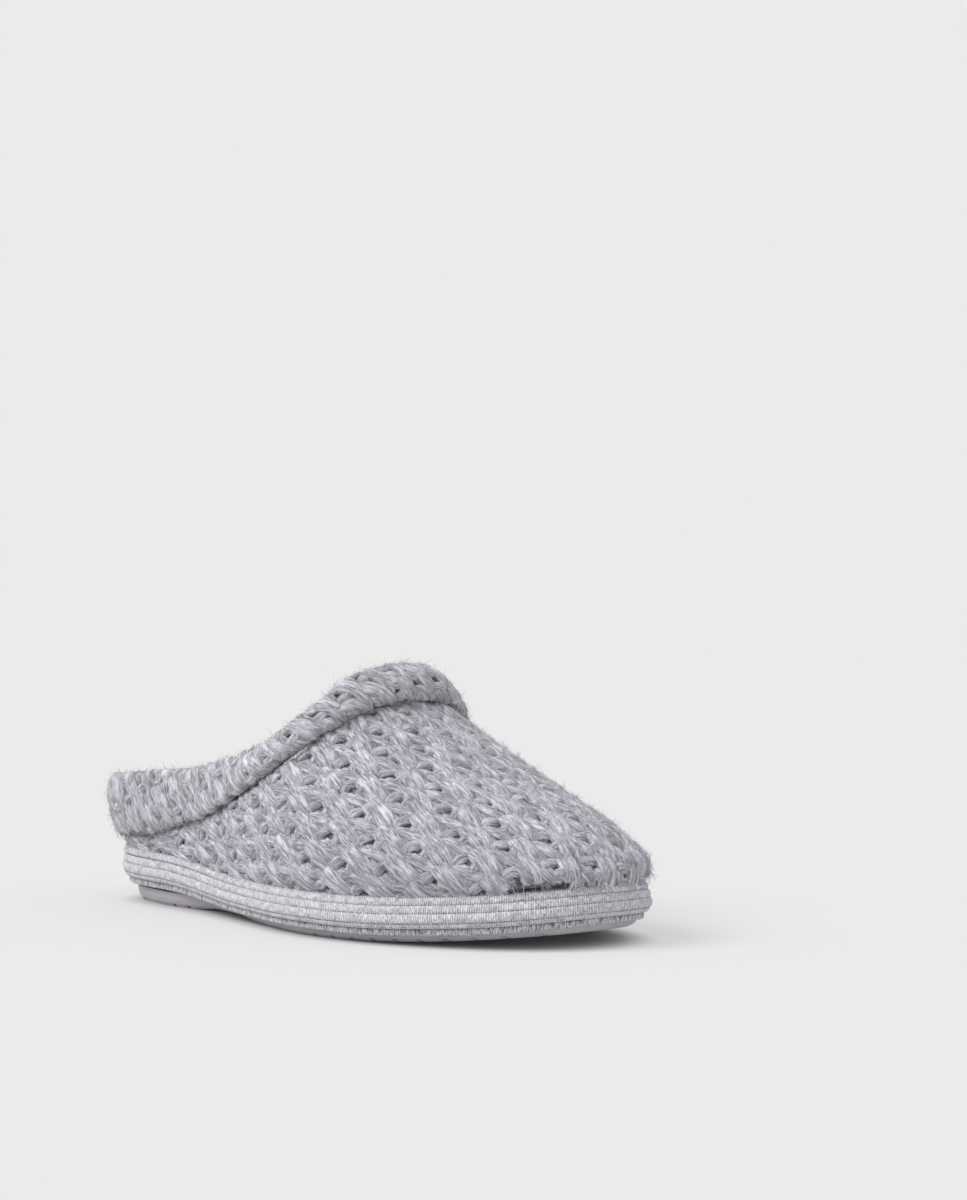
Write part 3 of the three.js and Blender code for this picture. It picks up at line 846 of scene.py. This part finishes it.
def fuzz_piece(name, strands, amount, material):
    """Many short thin ribbons that follow the strands and lift off them."""
    verts, faces, uv, tones = [], [], [], []
    picks = rng.integers(0, len(strands), amount)
    quad = np.array([[0, 1, 3, 2], [2, 3, 5, 4], [4, 5, 7, 6]])
    for n, index in enumerate(picks):
        centres, ups, widths, _, _ = strands[index]
        start = rng.integers(0, len(centres) - 1)
        along = unit(centres[start + 1] - centres[start])
        up = ups[start]
        across = np.cross(up, along)
        turn = rng.uniform(-1.1, 1.1)
        out = up * math.cos(turn) + across * math.sin(turn)
        side = np.cross(out, along)
        base = centres[start] + (centres[start + 1] - centres[start]) * rng.uniform()
        base = base + out * widths[start] * FIBRE_SEAT
        lean = rng.normal(0, 0.42)
        heading = unit(along * rng.choice((-1, 1)) + side * lean)
        sideways = np.cross(out, heading)
        length = rng.uniform(*FIBRE_LENGTH)
        rise = abs(rng.normal(0, 0.11)) + 0.08
        curl = rng.normal(0, 0.5)
        for step in range(4):
            t = step / 3
            lift = rise * math.sin(t * 3.0) - 0.12 - 0.25 * t * t
            middle = base + heading * length * t + out * lift + sideways * curl * t * t
            half = FIBRE_WIDTH * (1 - 0.6 * t) / 2
            verts.append(middle - sideways * half)
            verts.append(middle + sideways * half)
            uv.append((length * t, n * 0.37))
            uv.append((length * t, n * 0.37 + 0.05))
        tones += [rng.choice((0.62, 1.1, 1.35))] * 8
        faces.append(quad + n * 8)
    return make_piece(name, np.array(verts), np.concatenate(faces), material,
                      np.array(uv), np.array(tones))


FUZZ = 32000
upper_fuzz = fuzz_piece("upper_fuzz", knit_long + knit_loops, FUZZ, upper_yarn)
cuff_fuzz = fuzz_piece("cuff_fuzz", cuff_long + cuff_loops, FUZZ // 2, cuff_yarn)


# Wrapped band of the sole.

def height_table(tree, start, direction):
    xs = np.linspace(HEEL_X + 6, TOE_X - 6, 64)
    heights = [cast(tree, (x, axis_y(x), start), (0, 0, direction))[0][2] for x in xs]
    return xs, np.array(heights)


def height_at(table, x):
    """Height from a table by x, carried on in a straight line past its ends."""
    xs, heights = table
    inner = np.interp(x, xs, heights)
    first = (heights[1] - heights[0]) / (xs[1] - xs[0])
    last = (heights[-1] - heights[-2]) / (xs[-1] - xs[-2])
    return inner + np.minimum(x - xs[0], 0) * first + np.maximum(x - xs[-1], 0) * last


band_top = height_table(platform_tree, 200, -1)
band_bottom = height_table(platform_tree, -50, 1)
BAND_STATIONS = 420
BAND_THICKNESS = 13.6
RIB_PITCH = 0.85
STITCH_PITCH = 1.6
WIDEST_SHARE = 0.455


def band_outline():
    """Widest line of the band seen from above, evenly spaced, with outward directions."""
    spots = []
    for x, turn, _ in station_list()[:-1]:
        flat = np.array([math.cos(turn), math.sin(turn), 0.0])
        centre = np.array([x, axis_y(x), 0.0])
        reach = x
        for _ in range(3):
            low, high = height_at(band_bottom, reach), height_at(band_top, reach)
            z = low + WIDEST_SHARE * (high - low)
            hit, _ = cast(platform_tree, centre + flat * SIDE_RAY + (0, 0, z), -flat)
            reach = hit[0]
        spots.append(hit[:2])
    line = resample_loop(np.array(spots), BAND_STATIONS)
    for _ in range(3):
        line = (np.roll(line, 1, 0) + 2 * line + np.roll(line, -1, 0)) / 4
    along = unit(np.roll(line, -1, 0) - np.roll(line, 1, 0))
    outward = np.stack([along[:, 1], -along[:, 0]], 1)
    return line, outward


BAND_PROFILE = (
    (0.0, 6.5), (0.0, 4.6), (0.015, 3.5), (0.05, 3.05), (0.11, 2.95), (0.165, 3.05),
    (0.182, 3.3), (0.19, 2.6), (0.2, 2.0), (0.225, 1.55), (0.26, 1.15), (0.3, 0.85),
    (0.315, 0.9), (0.325, 1.15), (0.335, 0.85), (0.35, 0.45), (0.39, 0.16), (0.45, 0.03),
    (0.51, 0.1), (0.555, 0.38), (0.572, 0.6), (0.582, 0.95), (0.592, 0.85), (0.612, 0.7),
    (0.66, 0.62), (0.72, 0.72), (0.765, 1.05), (0.781, 1.4), (0.791, 1.8), (0.8, 1.75),
    (0.82, 1.6), (0.87, 1.55), (0.92, 1.75), (0.965, 2.25), (0.99, 3.0), (1.0, 4.2),
    (1.0, 7.0),
)
GROOVE_SHARES = (0.182, 0.325, 0.582, 0.791)


def band_piece():
    line, outward = band_outline()
    low = height_at(band_bottom, line[:, 0]) - toe_drop(line[:, 0]) + 0.35 * heel_rise(line[:, 0])
    high = height_at(band_top, line[:, 0]) - toe_drop(line[:, 0]) + heel_rise(line[:, 0])
    run = np.concatenate([[0], np.cumsum(np.linalg.norm(np.diff(line, axis=0), axis=1))])
    wobble = 0.12 * np.sin(run / 9.0) + 0.1 * np.sin(run / 23.0 + 2.0)
    rings, uv, tone = [], [], []
    reach = 0.0
    previous = None
    for share, inset in BAND_PROFILE:
        if previous is not None:
            reach += math.hypot((share - previous[0]) * BAND_THICKNESS, inset - previous[1])
        previous = (share, inset)
        if share == GROOVE_SHARES[0]:
            lowest_row = reach
        middle = 0 < share < 1
        shift = inset + (wobble * 0.6 if middle else 0)
        shift = shift - 0.3 * heel_rise(line[:, 0]) * (share > 0.8)
        flat = line - outward * np.reshape(shift, (-1, 1))
        z = low + (high - low) * share + (wobble * 0.7 if middle else 0)
        rings.append(np.column_stack([flat, z]))
        uv.append(np.column_stack([run, np.full(len(run), reach)]))
        # Painted shade: the tone drops to 0.2 along the grooves between the rows of the band.
        deep = min(abs(share - g) for g in GROOVE_SHARES)
        tone.append(np.full(len(run), 0.2 if deep < 0.002 else 1.0))
    verts = np.concatenate(rings)
    faces = [tuple(f) for f in grid_faces(len(BAND_PROFILE), BAND_STATIONS, close_columns=True)]
    faces = [f[::-1] for f in faces]
    top = (len(BAND_PROFILE) - 1) * BAND_STATIONS
    faces.append(tuple(range(BAND_STATIONS))[::-1])
    faces.append(tuple(range(top, top + BAND_STATIONS)))
    mesh_uv = np.concatenate(uv)
    return make_piece("ribbed_band", verts, faces, band_material(lowest_row), mesh_uv,
                      np.concatenate(tone))


def band_material(lowest_row):
    """Fine ribbed jersey: upright ribs, heathered, with painted shade in the valleys between the ribs
    and in the grooves between the rows, where stitches break it into dots.
    """
    material, tree, shader = new_material("ribbed_jersey")
    uv = node(tree, "ShaderNodeTexCoord").outputs["UV"]
    warp = stretched_noise(tree, uv, (0.5, 0.25, 1), 2.0)
    split = node(tree, "ShaderNodeSeparateXYZ")
    tree.links.new(uv, split.inputs[0])
    drift = add(tree, warp, None, "MULTIPLY", 0.5)
    along = add(tree, split.outputs["X"], drift)
    ribs = sine_wave(tree, along, RIB_PITCH)
    fibre = stretched_noise(tree, uv, (2.3, 0.7, 1), 2.0)
    heather = stretched_noise(tree, uv, (0.3, 0.3, 1), 2.0)
    levels = weighted(tree, fibre, 0.7, heather, 0.3)
    colour = ramp(tree, levels, [(0.36, (0.36, 0.352, 0.382)), (0.5, (0.62, 0.61, 0.655)),
                                 (0.63, (0.9, 0.89, 0.94))])
    # Darker streaks over the lowest row of the band, below its first groove.
    lowest_row_noise = stretched_noise(tree, uv, (1.3, 0.3, 1), 2.0)
    strokes = ramp(tree, lowest_row_noise, [(0.36, (0.35, 0.345, 0.36)), (0.5, (1, 1, 1))])
    lowest = node(tree, "ShaderNodeMath", operation="LESS_THAN")
    tree.links.new(split.outputs["Y"], lowest.inputs[0])
    lowest.inputs[1].default_value = lowest_row
    colour = mix(tree, "MULTIPLY", lowest.outputs[0], colour, strokes)
    # Painted shade: the valleys between the ribs are darker.
    shade = ramp(tree, lifted(tree, ribs), [(0.0, (0.6, 0.6, 0.61)), (0.6, (1, 1, 1))])
    colour = mix(tree, "MULTIPLY", 0.8, colour, shade)
    # Painted shade in the grooves: the tone attribute darkens them, in dots at the stitch pitch.
    tone = node(tree, "ShaderNodeAttribute", attribute_name="tone")
    stitches = lifted(tree, sine_wave(tree, along, STITCH_PITCH))
    groove_shade_dots = ramp(tree, stitches, [(0.15, (0.3, 0.3, 0.3)), (0.5, (1, 1, 1))])
    colour = mix(tree, "MULTIPLY", groove_shade_dots, colour, tone.outputs["Color"])
    tree.links.new(colour, shader.inputs["Base Color"])
    shader.inputs["Roughness"].default_value = 0.95
    shader.inputs["Specular IOR Level"].default_value = 0.2
    shader.inputs["Sheen Weight"].default_value = 0.2
    height = add(tree, add(tree, ribs, None, "MULTIPLY", 0.35), fibre)
    bump(tree, shader, height, 0.8, 0.0005)
    return material


ribbed_band = band_piece()


# Rubber tread: the CAD solid keeps its shape and gets its finish here.

def rubber_material():
    material, tree, shader = new_material("foamed_rubber")
    place = node(tree, "ShaderNodeTexCoord").outputs["Object"]
    cloud = stretched_noise(tree, place, (1, 1, 1), 3.0, 70.0)
    grain = stretched_noise(tree, place, (1, 1, 1), 2.0, 1500.0)
    both = weighted(tree, cloud, 0.7, grain, 0.3)
    tree.links.new(ramp(tree, both, [(0.3, (0.37, 0.345, 0.375)), (0.7, (0.47, 0.445, 0.48))]),
                   shader.inputs["Base Color"])
    shader.inputs["Roughness"].default_value = 0.62
    shader.inputs["Specular IOR Level"].default_value = 0.35
    bump(tree, shader, grain, 0.25, 0.0003)
    return material


def paint_node(name, material):
    mesh = nodes[name].data
    mesh.materials.clear()
    mesh.materials.append(material)


paint_node("outsole", rubber_material())


# Padded footbed, crowned, with a rolled edge.

FOOTBED_STATIONS = 160
FOOTBED_PROFILE = (
    (0.985, 0.25), (1.0, 1.1), (1.0, 2.0), (0.975, 3.0), (0.93, 3.55), (0.86, 3.65),
    (0.7, 3.75), (0.5, 3.85), (0.3, 3.9), (0.12, 3.9),
)


def footbed_piece():
    tree, _, _ = tree_of("footbed")
    low, high = [np.array(c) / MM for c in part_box("footbed")]
    rim = []
    for x, turn, _ in station_list()[:-1]:
        flat = np.array([math.cos(turn), math.sin(turn), 0.0])
        centre = np.array([x, axis_y(x), 0.0])
        reach = x
        for _ in range(3):
            z = height_at(band_top, reach) + 1.6
            hit, _ = cast(tree, centre + flat * SIDE_RAY + (0, 0, z), -flat)
            reach = hit[0] if hit is not None else reach
        rim.append((hit if hit is not None else centre + flat * 30)[:2])
    rim = resample_loop(np.array(rim), FOOTBED_STATIONS)
    spine = np.stack([np.clip(rim[:, 0], *SIDE_X), axis_y(np.clip(rim[:, 0], *SIDE_X))], 1)
    rings = []
    for share, rise in FOOTBED_PROFILE:
        flat = spine + (rim - spine) * share
        rings.append(np.column_stack([flat, height_at(band_top, flat[:, 0]) + 0.3 + rise * 0.97]))
    verts = np.concatenate(rings)
    n = len(rings)
    faces = [tuple(f)[::-1] for f in grid_faces(n, FOOTBED_STATIONS, close_columns=True)]
    faces.append(tuple(range(FOOTBED_STATIONS))[::-1])
    faces += zip_loop((n - 1) * FOOTBED_STATIONS, FOOTBED_STATIONS)
    uv = verts[:, :2]
    return make_piece("footbed_pad", verts, faces, footbed_cloth, uv, np.ones(len(verts)))


def zip_loop(start, count):
    """Quads across a narrow closed loop of points, from one side to the other."""
    return [(start + i, start + i + 1, start + count - i - 2, start + count - i - 1)
            for i in range(count // 2 - 1)]


footbed_pad = footbed_piece()


# Stray end of white thread at the toe, on the edge of the wrap.

def stray_thread():
    foot = np.array([129.5, -1.0, height_at(band_top, 126.0) + 1.6])
    strands = []
    for bend, length in ((0.5, 4.6), (-1.3, 3.4), (1.9, 2.6)):
        t = np.linspace(0, 1, 9)[:, None]
        side = np.array([0.3, 0.95, 0.0]) * bend * t * t
        over = np.array([4.2, -0.8, 0.0]) * np.sin(np.minimum(4 * t, 1.57))
        path = foot + side + over - np.array([0, 0, length]) * t
        ups = np.repeat(unit(np.array([[1.0, -0.3, 0.0]])), 9, 0)
        strands.append((path, ups, np.full(9, 0.16), 2.0, 1.0))
    return tube_set("stray_thread", strands, upper_yarn, 6)


stray = stray_thread()


# Hand the pieces over to the frame.

PIECES = (
    (upper_strands, "upper_knit", ("upper",)),
    (upper_loops, "upper_knit", ("upper",)),
    (upper_fuzz, "upper_knit", ("upper",)),
    (upper_lining, "upper_knit", ("upper",)),
    (stray, "ribbed_band", ("platform",)),
    (cuff_strands, "cuff_knit", ("cuff",)),
    (cuff_loop_piece, "cuff_knit", ("cuff",)),
    (cuff_fuzz, "cuff_knit", ("cuff",)),
    (cuff_core, "cuff_knit", ("cuff",)),
    (ribbed_band, "ribbed_band", ("platform",)),
    (footbed_pad, "footbed_textile", ("footbed",)),
)
for piece, slot_name, replaced in PIECES:
    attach(piece, "root")
    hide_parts(*replaced)


# Camera, fitted to the photograph.

camera_data = bpy.data.cameras.new("camera")
camera = bpy.data.objects.new("camera", camera_data)
bpy.context.scene.collection.objects.link(camera)
CAMERA_PLACE = Vector((0.63193, -0.56061, 0.10068))
CAMERA_TARGET = Vector((0.06705, 0.00548, 0.1207))
camera.location = CAMERA_PLACE
camera.rotation_mode = "QUATERNION"
camera.rotation_quaternion = (CAMERA_TARGET - CAMERA_PLACE).to_track_quat("-Z", "Y")
camera_data.sensor_width = 36
camera_data.lens = 65.75
camera_data.clip_start = 0.01
camera_data.clip_end = 100
bpy.context.scene.camera = camera


# Floor, soft daylight and the pale surround.

FLOOR_REACH = 12000
SUN_DIRECTION = (0.35, 0.75, -0.85)


def surround():
    material, tree, shader = new_material("studio_floor")
    place = node(tree, "ShaderNodeTexCoord").outputs["Object"]
    dust = stretched_noise(tree, place, (1, 1, 1), 2.0, 3.0)
    tree.links.new(ramp(tree, dust, [(0.3, (0.3, 0.3, 0.3)), (0.7, (0.305, 0.305, 0.305))]),
                   shader.inputs["Base Color"])
    # Painted light: the floor glows to stay evenly bright, and ambient occlusion dims the glow near the
    # slipper into a painted contact shadow.
    near = node(tree, "ShaderNodeAmbientOcclusion", samples=8)
    near.inputs["Distance"].default_value = 0.02
    glow_and_painted_shadow = ramp(tree, near.outputs["AO"], [(0.05, (0, 0, 0)), (0.6, (0.437, 0.437, 0.438))])
    tree.links.new(glow_and_painted_shadow, shader.inputs["Emission Color"])
    shader.inputs["Emission Strength"].default_value = 1.0
    shader.inputs["Roughness"].default_value = 1.0
    shader.inputs["Specular IOR Level"].default_value = 0.0
    corners = [(x * FLOOR_REACH, y * FLOOR_REACH, 0) for x, y in ((-1, -1), (1, -1), (1, 1), (-1, 1))]
    floor = make_piece("studio_floor", corners, [(0, 1, 2, 3)], material)


surround()
world = bpy.data.worlds.new("studio")
world.use_nodes = True
world.node_tree.nodes["Background"].inputs["Color"].default_value = (0.83, 0.83, 0.835, 1)
world.node_tree.nodes["Background"].inputs["Strength"].default_value = 1.0
bpy.context.scene.world = world
sun_data = bpy.data.lights.new("key", "SUN")
sun_data.energy = 2.1
sun_data.angle = math.radians(38)
sun = bpy.data.objects.new("key", sun_data)
bpy.context.scene.collection.objects.link(sun)
sun.rotation_mode = "QUATERNION"
sun.rotation_quaternion = Vector(SUN_DIRECTION).to_track_quat("-Z", "Y")
bpy.context.scene.view_settings.view_transform = "Standard"
